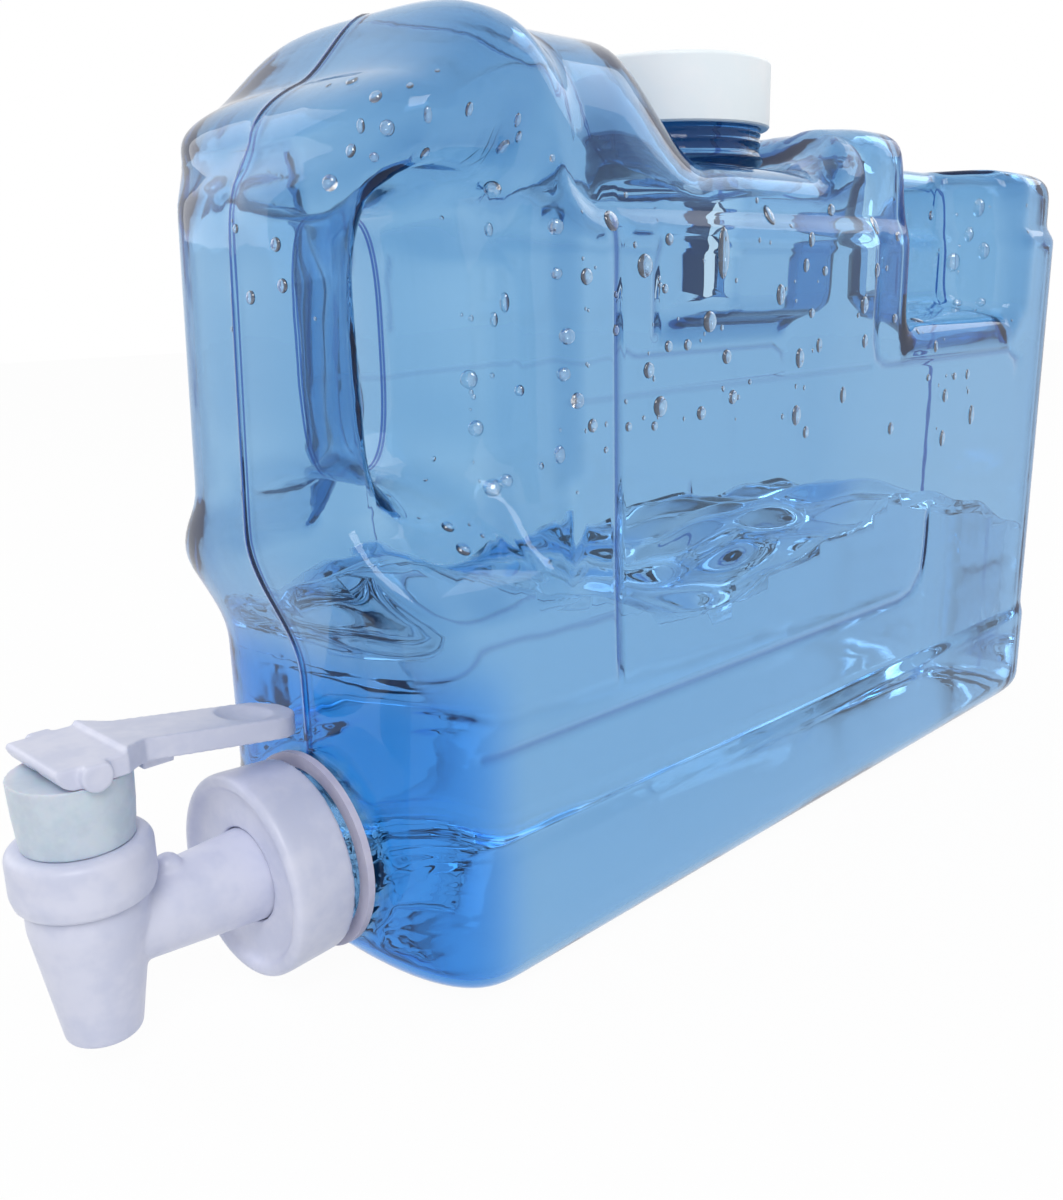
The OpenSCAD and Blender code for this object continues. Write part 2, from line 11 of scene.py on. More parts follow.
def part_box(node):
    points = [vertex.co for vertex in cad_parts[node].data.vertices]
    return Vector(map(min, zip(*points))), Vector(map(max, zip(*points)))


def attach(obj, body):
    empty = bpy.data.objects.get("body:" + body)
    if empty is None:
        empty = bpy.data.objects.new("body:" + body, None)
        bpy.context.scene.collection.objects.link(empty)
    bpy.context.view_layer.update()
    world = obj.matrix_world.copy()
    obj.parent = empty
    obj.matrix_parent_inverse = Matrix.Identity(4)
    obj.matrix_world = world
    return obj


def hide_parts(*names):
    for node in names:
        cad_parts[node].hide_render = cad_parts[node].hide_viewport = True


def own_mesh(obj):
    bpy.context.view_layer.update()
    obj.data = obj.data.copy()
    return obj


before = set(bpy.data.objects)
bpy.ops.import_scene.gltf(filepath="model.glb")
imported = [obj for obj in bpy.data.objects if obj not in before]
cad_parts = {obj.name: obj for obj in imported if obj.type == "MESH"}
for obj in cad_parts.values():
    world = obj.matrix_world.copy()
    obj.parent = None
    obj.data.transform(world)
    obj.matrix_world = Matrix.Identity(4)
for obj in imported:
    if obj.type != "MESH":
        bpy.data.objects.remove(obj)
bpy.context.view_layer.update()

MM = 0.001

# Sizes of the bottle, in millimetres, the same as the solids have
BOTTLE_LEN, BOTTLE_W, WALL, BASE_R = 415.0, 140.0, 2.2, 14.0
SHOULDER_H, CROWN_H, HUMP_SIDE_H, STEADY_H = 246.0, 264.0, 262.0, 228.0
FRONT_HUMP_H, FRONT_HUMP_LEN, FRONT_FALL = 302.0, 154.0, 46.0
HEAD_S, HEAD_FALL, SLOPE_SWEEP = 40.0, 24.0, 30.0
REAR_HUMP_H, TAIL_H, TAIL_ROUND = 281.0, 272.0, 30.0
HEAD_N, RIDGE_N, TOP_N, TAIL_N = 3.6, 2.5, 3.3, 6.0
BROW_N, BROW_END, EAR_S, EAR_LEN, EAR_SHARE = 1.8, 35.0, 6.0, 28.0, 0.4
BAND_H, BAND_SOFT, PANEL_STEP, FRONT_BOW = 50.0, 4.0, 1.5, 8.0
COLUMN_W, COLUMN_OUT, COLUMN_LEAN = 86.0, 16.0, 4.0
CHIN_LO, CHIN_HI, SILL_LO, SILL_HI, RECESS_END, SOFT = 100.0, 150.0, 127.0, 160.0, 44.0, 5.0
HOLE_LEN, HOLE_H, HOLE_MID_H, HOLE_MID_S, HOLE_FLARE = 29.0, 80.0, 204.0, 16.5, 12.0
GRIP_W, GRIP_S0, GRIP_S1, GRIP_FLOOR_H = 64.0, 260.0, 361.0, 206.0
FRONT_DEPTH, COLUMN_DEPTH, HUMP_DEPTH, REAR_DEPTH, BROW_SET, HUMP_INSET = 28.0, 15.0, 33.0, 27.0, 8.0, 4.0
REAR_RISE_S, REAR_RISE_LEN, REAR_FALL_LEN = 222.0, 18.0, 18.0
NECK_S, NECK_R, NECK_IN_R, NECK_TOP_H = 182.0, 34.5, 31.9, 299.0
PORT_H, PORT_R, PORT_IN_R, LAND_R, LAND_OUT, PORT_END = 40.0, 29.0, 26.0, 34.0, 9.5, 28.0
FRONT_Y = -BOTTLE_LEN / 2


def ramp(a, b, t):
    u = np.clip((np.asarray(t, float) - a) / (b - a), 0, 1)
    return u * u * (3 - 2 * u)


def arch(u, n):
    return (1 - np.minimum(1, np.abs(u)) ** n) ** (1 / n)


# The bottle's skin: g is how far a surface lies outside the true one
def recess(s, z, g):
    across = 1 - ramp(RECESS_END - g - SOFT, RECESS_END - g + SOFT, s)
    return across * ramp(SILL_LO + g, SILL_HI + g, z) * (1 - ramp(SHOULDER_H - g, HUMP_SIDE_H - g, z))


def grip(s, z, g):
    start = ramp(GRIP_S0 + g - SOFT, GRIP_S0 + g + SOFT, s)
    end = ramp(GRIP_S1 - g - SOFT, GRIP_S1 - g + SOFT, s)
    return start * (1 - end) * ramp(GRIP_FLOOR_H + g - SOFT, GRIP_FLOOR_H + g + SOFT, z)


def half_width(s, z, g):
    panel = BOTTLE_W / 2 - PANEL_STEP
    return (BOTTLE_W / 2 + g - PANEL_STEP * ramp(BAND_H - BAND_SOFT, BAND_H + BAND_SOFT, z)
            - (panel - COLUMN_W / 2) * recess(s, z, g) - (panel - GRIP_W / 2) * grip(s, z, g)
            - HUMP_INSET * ramp(SHOULDER_H, HUMP_SIDE_H, z))


def front_at(z, g):
    return (-FRONT_BOW - g - COLUMN_OUT * ramp(CHIN_LO - g, CHIN_HI - g, z)
            + COLUMN_LEAN * max(0, z - CHIN_HI) / 100 + BROW_SET * ramp(SHOULDER_H, HUMP_SIDE_H, z))


def front_round(z):
    return (FRONT_DEPTH + (COLUMN_DEPTH - FRONT_DEPTH) * ramp(CHIN_LO, SILL_HI, z)
            + (HUMP_DEPTH - COLUMN_DEPTH) * ramp(SHOULDER_H, HUMP_SIDE_H, z))


def side_top(s):
    return SHOULDER_H + (HUMP_SIDE_H - SHOULDER_H) * (1 - ramp(HEAD_S, HEAD_S + HEAD_FALL, s))


def roof_n(s):
    """How square the roof is across at one station."""
    return (HEAD_N + (RIDGE_N - HEAD_N) * ramp(HEAD_S - 4, HEAD_S + HEAD_FALL, s)
            + (TOP_N - RIDGE_N) * ramp(FRONT_HUMP_LEN - FRONT_FALL, FRONT_HUMP_LEN, s)
            + (TAIL_N - TOP_N) * ramp(REAR_RISE_S, REAR_RISE_S + REAR_RISE_LEN, s))


def crest(s, g, sweep=0.0):
    """Height of the roof, its slopes brought forward by the sweep."""
    s0 = front_at(HUMP_SIDE_H, g)
    fall = ramp(FRONT_HUMP_LEN - FRONT_FALL + g, FRONT_HUMP_LEN + g, s + sweep)
    rise = ramp(REAR_RISE_S - g, REAR_RISE_S - g + REAR_RISE_LEN, s + sweep)
    drop_off = ramp(GRIP_S0 + g, GRIP_S0 + g + REAR_FALL_LEN, s)
    hump = (CROWN_H + (FRONT_HUMP_H - CROWN_H) * (1 - fall) + (REAR_HUMP_H - CROWN_H) * rise
            - (REAR_HUMP_H - TAIL_H) * drop_off)
    low = side_top(s)
    lead = np.where(s < BROW_END, arch((BROW_END - s) / (BROW_END - s0), BROW_N), 1)
    ear = ramp(EAR_S - g, EAR_S - g + EAR_LEN, s)
    tail_s = BOTTLE_LEN + g - TAIL_ROUND
    trail = np.where(s > tail_s, arch((s - tail_s) / TAIL_ROUND, 3), 1)
    return low + (hump - low) * (lead + (ear - lead) * EAR_SHARE) * trail + g


def spread(a, b, n):
    return a + (b - a) * np.arange(1, n + 1) / (n + 1)


def gathered(lo, hi, step, centres, reach=4.0, fine=1.0):
    """Stations from lo to hi, closer together round each of the centres."""
    at = set(np.linspace(lo, hi, max(2, round((hi - lo) / step) + 1)).round(3))
    for c in centres:
        at = {t for t in at if abs(t - c) > reach + fine / 2 or t in (lo, hi)}
        at |= {round(t, 3) for t in np.arange(c - reach, c + reach + fine / 2, fine) if lo < t < hi}
    out = []
    for t in sorted(at):
        if not out or t - out[-1] > 0.35:
            out.append(t)
    return np.array(out)


# Fine lines moulded into the side panels, as [points (s, height)], depth and half width
PANEL_LINES = [
    ([(369, 54), (369, 174), (366, 183), (357, 187.5), (238, 187.5), (231, 191), (228.5, 198), (228.5, 236)],
     0.75, 1.3),
    ([(71, 98), (70, 128), (70, 240)], 1.2, 1.2),
    ([(8, 84), (262, 82), (274, 84), (282, 92), (284, 103), (284, 118)], 0.75, 1.5),
    ([(50, 187.5), (226, 187.5)], 0.4, 1.0),
    ([(88, 206), (88, 226), (91, 234)], 0.6, 1.2),
]


# The parting line: its height and half width, and how strongly it and the panel lines are darkened with navy
# painted shade
SEAM_UP, SEAM_HALF, LINE_SHADE_STRENGTH = 0.6, 1.1, 0.9
# Where the skin has points close to the parting line: in mm on the front, as shares of the width on the roof
SEAM_STEPS = [0.0, 0.5, 1.0, 1.6, 2.4]
SEAM_ROWS = [-0.035, -0.022, -0.012, 0, 0.012, 0.022, 0.035]


def line_depth(s, z):
    depth = np.zeros_like(s)
    for points, deep, half in PANEL_LINES:
        far = np.full_like(s, 1e9)
        for (s0, z0), (s1, z1) in zip(points, points[1:]):
            ds, dz = s1 - s0, z1 - z0
            t = np.clip(((s - s0) * ds + (z - z0) * dz) / (ds * ds + dz * dz), 0, 1)
            far = np.minimum(far, np.hypot(s - s0 - t * ds, z - z0 - t * dz))
        depth = np.maximum(depth, deep * np.exp(-((far / half) ** 2)))
    return depth


def skin(g, front_steps, rear_steps, across, step, base_steps, lines):
    """Points (mm, in the bottle's own x, s, z) and faces of the closed skin."""
    at_s = [44, 253, 361] + ([70, 88, 228.5, 284, 369] if lines else [])
    at_z = [206] + ([82, 187.5, 50] if lines else [])
    sides = gathered(RECESS_END - SOFT, GRIP_S1 + SOFT, step, at_s, 5 if lines else 4, 1.1 if lines else 2)
    heights = gathered(22, HUMP_SIDE_H, step, at_z, 5 if lines else 4, 1.1 if lines else 2)
    r = BASE_R + g
    turns = np.radians(np.linspace(0, 90, base_steps + 1))
    levels = [(r * (1 - math.cos(a)) - g, r * (1 - math.sin(a))) for a in turns] + [(z, 0) for z in heights]
    rings = []
    for z, inset in levels:
        s_front, depth = float(front_at(z, g)) + inset, float(front_round(z))
        a = float(half_width(s_front + depth, z, g)) - inset
        s_rear = BOTTLE_LEN + g - inset
        b = float(half_width(s_rear - REAR_DEPTH, z, g)) - inset
        first = np.arcsin((np.array(SEAM_STEPS) / a) ** 1.5)
        t = np.concatenate([first, np.linspace(first[-1], math.pi / 2, front_steps)[1:]])
        xs, ss = a * np.sin(t) ** (2 / 3), s_front + depth * (1 - np.cos(t) ** (2 / 3))
        before, after = spread(s_front + depth, sides[0], 6), spread(sides[-1], s_rear - REAR_DEPTH, 3)
        mid = np.concatenate([before, sides, after])
        t = np.linspace(0, math.pi / 2, rear_steps + 1)
        half_x = np.concatenate([xs, half_width(mid, z, g) - inset, b * np.cos(t) ** 0.5])
        half_s = np.concatenate([ss, mid, s_rear - REAR_DEPTH * (1 - np.sin(t) ** 0.5)])
        half_x[0] = half_x[-1] = 0
        x = np.concatenate([half_x, -half_x[-2:0:-1]])
        s = np.concatenate([half_s, half_s[-2:0:-1]])
        top = side_top(s)
        h = np.full_like(s, z)
        if z >= STEADY_H:
            h = STEADY_H + (z - STEADY_H) * (top + g - STEADY_H) / (HUMP_SIDE_H - STEADY_H)
        if lines:
            s = s - SEAM_UP * np.exp(-((x / SEAM_HALF) ** 2)) * (s < 200)
        if lines and not inset:
            flat = (s > 5) & (s < BOTTLE_LEN - 12)
            x = x - np.sign(x) * np.where(flat, line_depth(s, h), 0)
        rings.append(np.stack([x, s, h], -1))
    rings = np.array(rings)
    n_levels, m = rings.shape[:2]
    half = m // 2
    rim = rings[-1][1:half]
    f = np.cos(np.pi * np.arange(1, across) / across)
    if lines:
        f = np.sort(np.concatenate([f[np.abs(f) > 0.05], SEAM_ROWS]))[::-1]
        across = len(f) + 1
    along = rim[:, 1:2]
    low = side_top(along) + g
    tops = low + (crest(along, g, SLOPE_SWEEP * f ** 2) - low) * arch(f, roof_n(along))
    if lines:
        tops = tops + SEAM_UP * np.exp(-((rim[:, :1] * f / SEAM_HALF) ** 2))
    inner = np.stack([rim[:, :1] * f, np.repeat(along, across - 1, 1), tops], -1)
    points = np.concatenate([rings.reshape(-1, 3), inner.reshape(-1, 3)])
    last = n_levels - 1

    def top_at(j, i):
        if j == 0:
            return last * m
        if j == half:
            return last * m + half
        if i == 0:
            return last * m + j
        if i == across:
            return last * m + m - j
        return n_levels * m + (j - 1) * (across - 1) + i - 1

    faces = []
    for k in range(last):
        for j in range(m):
            n = (j + 1) % m
            faces.append((k * m + j, k * m + n, (k + 1) * m + n, (k + 1) * m + j))
    for j in range(half):
        faces.append((j, (m - j) % m, m - j - 1, j + 1) if j else (0, m - 1, 1))
        for i in range(across):
            faces.append((top_at(j, i), top_at(j + 1, i), top_at(j + 1, i + 1), top_at(j, i + 1)))
    clean = []
    for face in faces:
        kept = [p for i, p in enumerate(face) if p != face[i - 1]]
        if len(set(kept)) >= 3:
            clean.append(tuple(kept))
    return points, clean


def put(name, data):
    """A new object of the scene."""
    obj = bpy.data.objects.new(name, data)
    bpy.context.scene.collection.objects.link(obj)
    return obj


def new_mesh(name, points, faces, scale=MM, shift=(0, 0, 0)):
    mesh = bpy.data.meshes.new(name)
    mesh.from_pydata([tuple(p) for p in np.asarray(points, float) * scale + np.asarray(shift)], [], faces)
    mesh.validate()
    bm = bmesh.new()
    bm.from_mesh(mesh)
    bmesh.ops.recalc_face_normals(bm, faces=bm.faces)
    bm.to_mesh(mesh)
    bm.free()
    return put(name, mesh)


def lathe(name, profile, steps=128, axis="Z", at=(0, 0, 0)):
    """A closed revolved solid from (radius, height) pairs in mm, or a ring where no radius is 0."""
    rows = []
    t = 2 * math.pi * np.arange(steps) / steps
    points, start = [], []
    for r, h in profile:
        start.append(len(points))
        if r < 1e-6:
            points.append((0, 0, h))
        else:
            points += [(r * c, r * s, h) for c, s in zip(np.cos(t), np.sin(t))]
    closed = all(r > 1e-6 for r, _ in profile)
    n = len(profile)
    for a in range(n if closed else n - 1):
        b = (a + 1) % n
        for j in range(steps):
            k = (j + 1) % steps
            pa = [start[a]] if profile[a][0] < 1e-6 else [start[a] + j, start[a] + k]
            pb = [start[b]] if profile[b][0] < 1e-6 else [start[b] + k, start[b] + j]
            if len(pa) + len(pb) >= 3:
                rows.append(tuple(pa + pb))
    points = np.array(points)
    if axis == "-Y":
        points = np.stack([points[:, 0], -points[:, 2], points[:, 1]], -1)
    return new_mesh(name, points + np.array(at), rows)


def combine(obj, other, how):
    mod = obj.modifiers.new("join", "BOOLEAN")
    mod.object, mod.operation, mod.solver = other, how, "MANIFOLD"
    apply_all(obj)
    mesh = other.data
    bpy.data.objects.remove(other)
    bpy.data.meshes.remove(mesh)
    return obj


def apply_all(obj):
    graph = bpy.context.evaluated_depsgraph_get()
    graph.update()
    final = obj.evaluated_get(graph)
    mesh = bpy.data.meshes.new_from_object(final, preserve_all_data_layers=True, depsgraph=graph)
    old = obj.data
    obj.modifiers.clear()
    obj.data = mesh
    bpy.data.meshes.remove(old)


def coords(mesh):
    out = np.empty(len(mesh.vertices) * 3)
    mesh.vertices.foreach_get("co", out)
    return out.reshape(-1, 3)


def edge_pairs(mesh):
    out = np.empty(len(mesh.edges) * 2, np.int64)
    mesh.edges.foreach_get("vertices", out)
    return out.reshape(-1, 2)


def relax(mesh, weight, rounds):
    """Evens the surface out where weight is above 0."""
    p, e = coords(mesh), edge_pairs(mesh)
    n = len(p)
    count = np.bincount(e.ravel(), minlength=n)[:, None]
    for _ in range(rounds):
        total = np.stack([np.bincount(e[:, 0], p[e[:, 1], k], n) + np.bincount(e[:, 1], p[e[:, 0], k], n)
                          for k in range(3)], -1)
        p += (total / np.maximum(count, 1) - p) * weight[:, None] * 0.6
    mesh.vertices.foreach_set("co", p.ravel())
    mesh.update()


def crease_points(mesh, degrees):
    """Where neighbouring faces meet at more than the angle."""
    bm = bmesh.new()
    bm.from_mesh(mesh)
    limit = math.radians(degrees)
    sharp = [e for e in bm.edges if len(e.link_faces) == 2 and e.calc_face_angle(0) > limit]
    found = {v.index for e in sharp for v in e.verts}
    bm.free()
    return np.array(sorted(found), np.int64)


def near(points, marks, reach):
    """1 at the marks, falling to 0 at the reach from them."""
    tree = KDTree(len(marks))
    for i, m in enumerate(marks):
        tree.insert(m, i)
    tree.balance()
    far = np.array([tree.find(p)[2] for p in points])
    return np.clip(1 - far / reach, 0, 1)


def shrunk(obj, by):
    """A copy whose surface lies the given distance (mm) inside."""
    mesh = obj.data.copy()
    normals = np.empty(len(mesh.vertices) * 3)
    mesh.vertices.foreach_get("normal", normals)
    mesh.vertices.foreach_set("co", (coords(mesh) - normals.reshape(-1, 3) * by * MM).ravel())
    mesh.update()
    return put("water", mesh)


def smooth_shade(obj):
    obj.data.polygons.foreach_set("use_smooth", [True] * len(obj.data.polygons))
    obj.data.update()


# Materials

def node_group(name, ins, outs):
    group = bpy.data.node_groups.new(name, "ShaderNodeTree")
    for label, kind, default in ins:
        sock = group.interface.new_socket(label, in_out="INPUT", socket_type=kind)
        if default is not None:
            sock.default_value = default
    for label, kind in outs:
        group.interface.new_socket(label, in_out="OUTPUT", socket_type=kind)
    return group, group.nodes.new("NodeGroupInput"), group.nodes.new("NodeGroupOutput")


def add(tree, kind, **sets):
    node = tree.nodes.new(kind)
    for key, value in sets.items():
        if hasattr(node, key):
            setattr(node, key, value)
        else:
            node.inputs[key.replace("_", " ")].default_value = value
    return node


def moulding_group():
    """Faint clouding and grain of moulded plastic: a colour, a roughness and a height."""
    group, enter, leave = node_group(
        "moulded_plastic",
        [("Pale", "NodeSocketColor", (0.8, 0.8, 0.85, 1)), ("Dim", "NodeSocketColor", (0.7, 0.7, 0.77, 1)),
         ("Cloud Size", "NodeSocketFloat", 60.0), ("Grain Size", "NodeSocketFloat", 900.0),
         ("Roughness", "NodeSocketFloat", 0.35), ("Roughness Spread", "NodeSocketFloat", 0.1)],
        [("Color", "NodeSocketColor"), ("Roughness", "NodeSocketFloat"), ("Height", "NodeSocketFloat")])
    link = group.links.new
    place = add(group, "ShaderNodeTexCoord")
    cloud = add(group, "ShaderNodeTexNoise", Detail=3.0, Roughness=0.6)
    grain = add(group, "ShaderNodeTexNoise", Detail=2.0)
    link(place.outputs["Object"], cloud.inputs["Vector"])
    link(place.outputs["Object"], grain.inputs["Vector"])
    link(enter.outputs["Cloud Size"], cloud.inputs["Scale"])
    link(enter.outputs["Grain Size"], grain.inputs["Scale"])
    spread_out = add(group, "ShaderNodeMapRange", interpolation_type="SMOOTHSTEP")
    spread_out.inputs["From Min"].default_value = 0.35
    spread_out.inputs["From Max"].default_value = 0.65
    link(cloud.outputs["Fac"], spread_out.inputs["Value"])
    mix = add(group, "ShaderNodeMix", data_type="RGBA")
    link(spread_out.outputs["Result"], mix.inputs["Factor"])
    link(enter.outputs["Pale"], mix.inputs["A"])
    link(enter.outputs["Dim"], mix.inputs["B"])
    link(mix.outputs["Result"], leave.inputs["Color"])
    rough = add(group, "ShaderNodeMath", operation="MULTIPLY_ADD")
    link(cloud.outputs["Fac"], rough.inputs[0])
    link(enter.outputs["Roughness Spread"], rough.inputs[1])
    link(enter.outputs["Roughness"], rough.inputs[2])
    link(rough.outputs["Value"], leave.inputs["Roughness"])
    both = add(group, "ShaderNodeMath", operation="MULTIPLY_ADD")
    both.inputs[1].default_value = 0.25
    link(grain.outputs["Fac"], both.inputs[0])
    link(cloud.outputs["Fac"], both.inputs[2])
    link(both.outputs["Value"], leave.inputs["Height"])
    return group


def ripple_group():
    """Slow waves in blown or poured clear stuff, and finer flow marks over them: a height and a mask."""
    group, enter, leave = node_group(
        "clear_ripples",
        [("Wave Size", "NodeSocketFloat", 18.0), ("Mark Size", "NodeSocketFloat", 90.0),
         ("Mark Share", "NodeSocketFloat", 0.2), ("Stretch", "NodeSocketVector", (1, 1, 1))],
        [("Height", "NodeSocketFloat"), ("Mask", "NodeSocketFloat")])
    link = group.links.new
    place = add(group, "ShaderNodeTexCoord")
    scaled = add(group, "ShaderNodeVectorMath", operation="MULTIPLY")
    link(place.outputs["Object"], scaled.inputs[0])
    link(enter.outputs["Stretch"], scaled.inputs[1])
    wave = add(group, "ShaderNodeTexNoise", Detail=0.5)
    marks = add(group, "ShaderNodeTexNoise", Detail=0.5)
    for node, size in ((wave, "Wave Size"), (marks, "Mark Size")):
        link(scaled.outputs["Vector"], node.inputs["Vector"])
        link(enter.outputs[size], node.inputs["Scale"])
    both = add(group, "ShaderNodeMath", operation="MULTIPLY_ADD")
    link(marks.outputs["Fac"], both.inputs[0])
    link(enter.outputs["Mark Share"], both.inputs[1])
    link(wave.outputs["Fac"], both.inputs[2])
    link(both.outputs["Value"], leave.inputs["Height"])
    mask = add(group, "ShaderNodeMapRange")
    mask.inputs["From Min"].default_value = 0.4
    mask.inputs["From Max"].default_value = 0.62
    link(wave.outputs["Fac"], mask.inputs["Value"])
    link(mask.outputs["Result"], leave.inputs["Mask"])
    return group


MOULDING, RIPPLES = moulding_group(), ripple_group()


def material(name):
    mat = bpy.data.materials.new(name)
    mat.use_nodes = True
    tree = mat.node_tree
    return mat, tree, tree.nodes["Principled BSDF"]


def moulded(name, pale, dim, rough=0.3, spread_by=0.12, bump=0.02, cloud=60.0, grain=900.0, **shader):
    mat, tree, bsdf = material(name)
    use = add(tree, "ShaderNodeGroup", node_tree=MOULDING)
    for key, value in (("Pale", pale), ("Dim", dim), ("Cloud Size", cloud), ("Grain Size", grain),
                       ("Roughness", rough), ("Roughness Spread", spread_by)):
        use.inputs[key].default_value = value
    tree.links.new(use.outputs["Color"], bsdf.inputs["Base Color"])
    tree.links.new(use.outputs["Roughness"], bsdf.inputs["Roughness"])
    lift = add(tree, "ShaderNodeBump")
    lift.inputs["Strength"].default_value = bump
    lift.inputs["Distance"].default_value = 0.002
    tree.links.new(use.outputs["Height"], lift.inputs["Height"])
    tree.links.new(lift.outputs["Normal"], bsdf.inputs["Normal"])
    set_shader(bsdf, shader)
    return mat


def set_shader(bsdf, shader):
    for key, value in shader.items():
        bsdf.inputs[key.replace("_", " ")].default_value = value


def tinted(tree, base, other, share):
    """A colour that goes from base to the other by a share that changes over the surface."""
    mix = add(tree, "ShaderNodeMix", data_type="RGBA")
    mix.inputs["B"].default_value = other
    if hasattr(base, "is_linked"):
        tree.links.new(base, mix.inputs["A"])
    else:
        mix.inputs["A"].default_value = base
    tree.links.new(share, mix.inputs["Factor"])
    return mix.outputs["Result"]


def parting_line(tree):
    """1 on the mould's parting line at the middle of the bottle, 0 beside it."""
    place = add(tree, "ShaderNodeTexCoord")
    parts = add(tree, "ShaderNodeSeparateXYZ")
    side = add(tree, "ShaderNodeMath", operation="ABSOLUTE")
    band = add(tree, "ShaderNodeMapRange", interpolation_type="SMOOTHSTEP")
    for key, value in (("From Min", 0.0004), ("From Max", 0.0010), ("To Min", 1.0), ("To Max", 0.0)):
        band.inputs[key].default_value = value
    tree.links.new(place.outputs["Object"], parts.inputs["Vector"])
    tree.links.new(parts.outputs["X"], side.inputs[0])
    tree.links.new(side.outputs["Value"], band.inputs["Value"])
    return band.outputs["Result"]


def clear(name, tint, ior, waves, bump, rough=0.0, rough_by=0.0, stretch=(1, 1, 1), **shader):
    """Clear stuff with slow waves: their size, the size of the marks over them, and the marks' share."""
    mat, tree, bsdf = material(name)
    mat.cycles.emission_sampling = "NONE"
    bsdf.inputs["Base Color"].default_value = tint
    bsdf.inputs["Transmission Weight"].default_value = 1.0
    bsdf.inputs["IOR"].default_value = ior
    use = add(tree, "ShaderNodeGroup", node_tree=RIPPLES)
    for key, value in zip(("Wave Size", "Mark Size", "Mark Share", "Stretch"), (*waves, stretch)):
        use.inputs[key].default_value = value
    scale = add(tree, "ShaderNodeMath", operation="MULTIPLY_ADD")
    scale.inputs[1].default_value, scale.inputs[2].default_value = rough_by, rough
    tree.links.new(use.outputs["Mask"], scale.inputs[0])
    tree.links.new(scale.outputs["Value"], bsdf.inputs["Roughness"])
    lift = add(tree, "ShaderNodeBump")
    lift.inputs["Strength"].default_value = bump
    lift.inputs["Distance"].default_value = 0.003
    tree.links.new(use.outputs["Height"], lift.inputs["Height"])
    tree.links.new(lift.outputs["Normal"], bsdf.inputs["Normal"])
    set_shader(bsdf, shader)
    return mat, tree, bsdf, use


# The colours of the bottle's plastic on its surface, in its thick parts and through its wall, the navy
# painted shade in its lines, and a faint painted blue glow over the wall
PLASTIC, THICK_PLASTIC, NAVY_CREASE_SHADE = (0.68, 0.82, 0.91, 1), (0.13, 0.53, 1.0, 1), (0.01, 0.06, 0.32, 1)
WALL_TINT, WALL_DENSITY, PAINTED_BLUE_GLOW = (0.06, 0.43, 0.68, 1), 170.0, (0.04, 0.34, 1.0, 1)
# The water's own tint, and the deeper blue of a painted reflection on its upper face
WATER_TINT, WATER_PAINTED_REFLECTION = (0.90, 0.95, 1.0, 1), (0.12, 0.42, 0.85, 1)


def bottle_blue():
    """Blown plastic: deeper where the wall is thick, with navy painted shade in its moulded lines and parting
    line, a faint painted blue glow, and tinted all through.
    """
    # The faint blue emission is a painted glow that lifts the wall's dark parts to blue
    mat, tree, bsdf, _ = clear("blown_blue_plastic", PLASTIC, 1.34, (22.0, 120.0, 0.06), 0.4,
                               rough=-0.05, rough_by=0.08, stretch=(1, 0.5, 0.8),
                               Emission_Color=PAINTED_BLUE_GLOW, Emission_Strength=0.02)
    # Navy painted shade along the grooves of the moulded lines and on the parting line
    lines = add(tree, "ShaderNodeAttribute", attribute_name="line")
    marks = add(tree, "ShaderNodeMath", operation="MAXIMUM")
    tree.links.new(parting_line(tree), marks.inputs[0])
    tree.links.new(lines.outputs["Fac"], marks.inputs[1])
    thick = add(tree, "ShaderNodeAttribute", attribute_name="thick")
    deep = tinted(tree, PLASTIC, THICK_PLASTIC, thick.outputs["Fac"])
    shaded_lines = tinted(tree, deep, NAVY_CREASE_SHADE, marks.outputs["Value"])
    tree.links.new(shaded_lines, bsdf.inputs["Base Color"])
    volume = add(tree, "ShaderNodeVolumeAbsorption")
    volume.inputs["Color"].default_value = WALL_TINT
    volume.inputs["Density"].default_value = WALL_DENSITY
    tree.links.new(volume.outputs["Volume"], tree.nodes["Material Output"].inputs["Volume"])
    return mat


def still_water():
    """Water with deeper blue streaks painted on its upper face, a painted reflection of the blue wall in its
    waves.
    """
    mat, tree, bsdf, use = clear("still_water", WATER_TINT, 1.33, (26.0, 90.0, 0.3), 0.15,
                                 stretch=(1, 0.6, 1))
    level = add(tree, "ShaderNodeAttribute", attribute_name="top")
    reflection_share = add(tree, "ShaderNodeMath", operation="MULTIPLY")
    tree.links.new(level.outputs["Fac"], reflection_share.inputs[0])
    tree.links.new(use.outputs["Mask"], reflection_share.inputs[1])
    reflected_blue = tinted(tree, WATER_TINT, WATER_PAINTED_REFLECTION, reflection_share.outputs["Value"])
    tree.links.new(reflected_blue, bsdf.inputs["Base Color"])
    return mat


BOTTLE_BLUE, WATER_CLEAR = bottle_blue(), still_water()
DROP_CLEAR = clear("water_drops", (1, 1, 1, 1), 1.2, (200.0, 600.0, 0.2), 0.05,
                   Coat_Weight=1.0, Coat_IOR=1.8, Coat_Roughness=0.02)[0]
CAP_WHITE = moulded("cap_white", (0.93, 0.97, 1.0, 1), (0.88, 0.95, 0.99, 1), rough=0.32, cloud=40.0)
TAP_WHITE = moulded("tap_white", (0.70, 0.72, 0.86, 1), (0.62, 0.65, 0.81, 1),
                    rough=0.28, cloud=70.0, bump=0.03)
SLEEVE_WHITE = moulded("sleeve_greenish_white", (0.61, 0.69, 0.78, 1), (0.53, 0.62, 0.72, 1),
                       rough=0.3, cloud=110.0, bump=0.04, Subsurface_Weight=0.4, Subsurface_Scale=0.006)
WASHER_PINK = moulded("washer_pinkish", (0.70, 0.68, 0.82, 1), (0.60, 0.58, 0.74, 1), rough=0.45)
SILICONE = moulded("soft_silicone", (0.72, 0.74, 0.76, 1), (0.62, 0.65, 0.68, 1),
                   rough=0.5, Subsurface_Weight=0.3)
LINER_FOAM = moulded("liner_foam", (0.80, 0.80, 0.80, 1), (0.7, 0.7, 0.7, 1),
                     rough=0.8, cloud=300.0, bump=0.2)


# Bottle

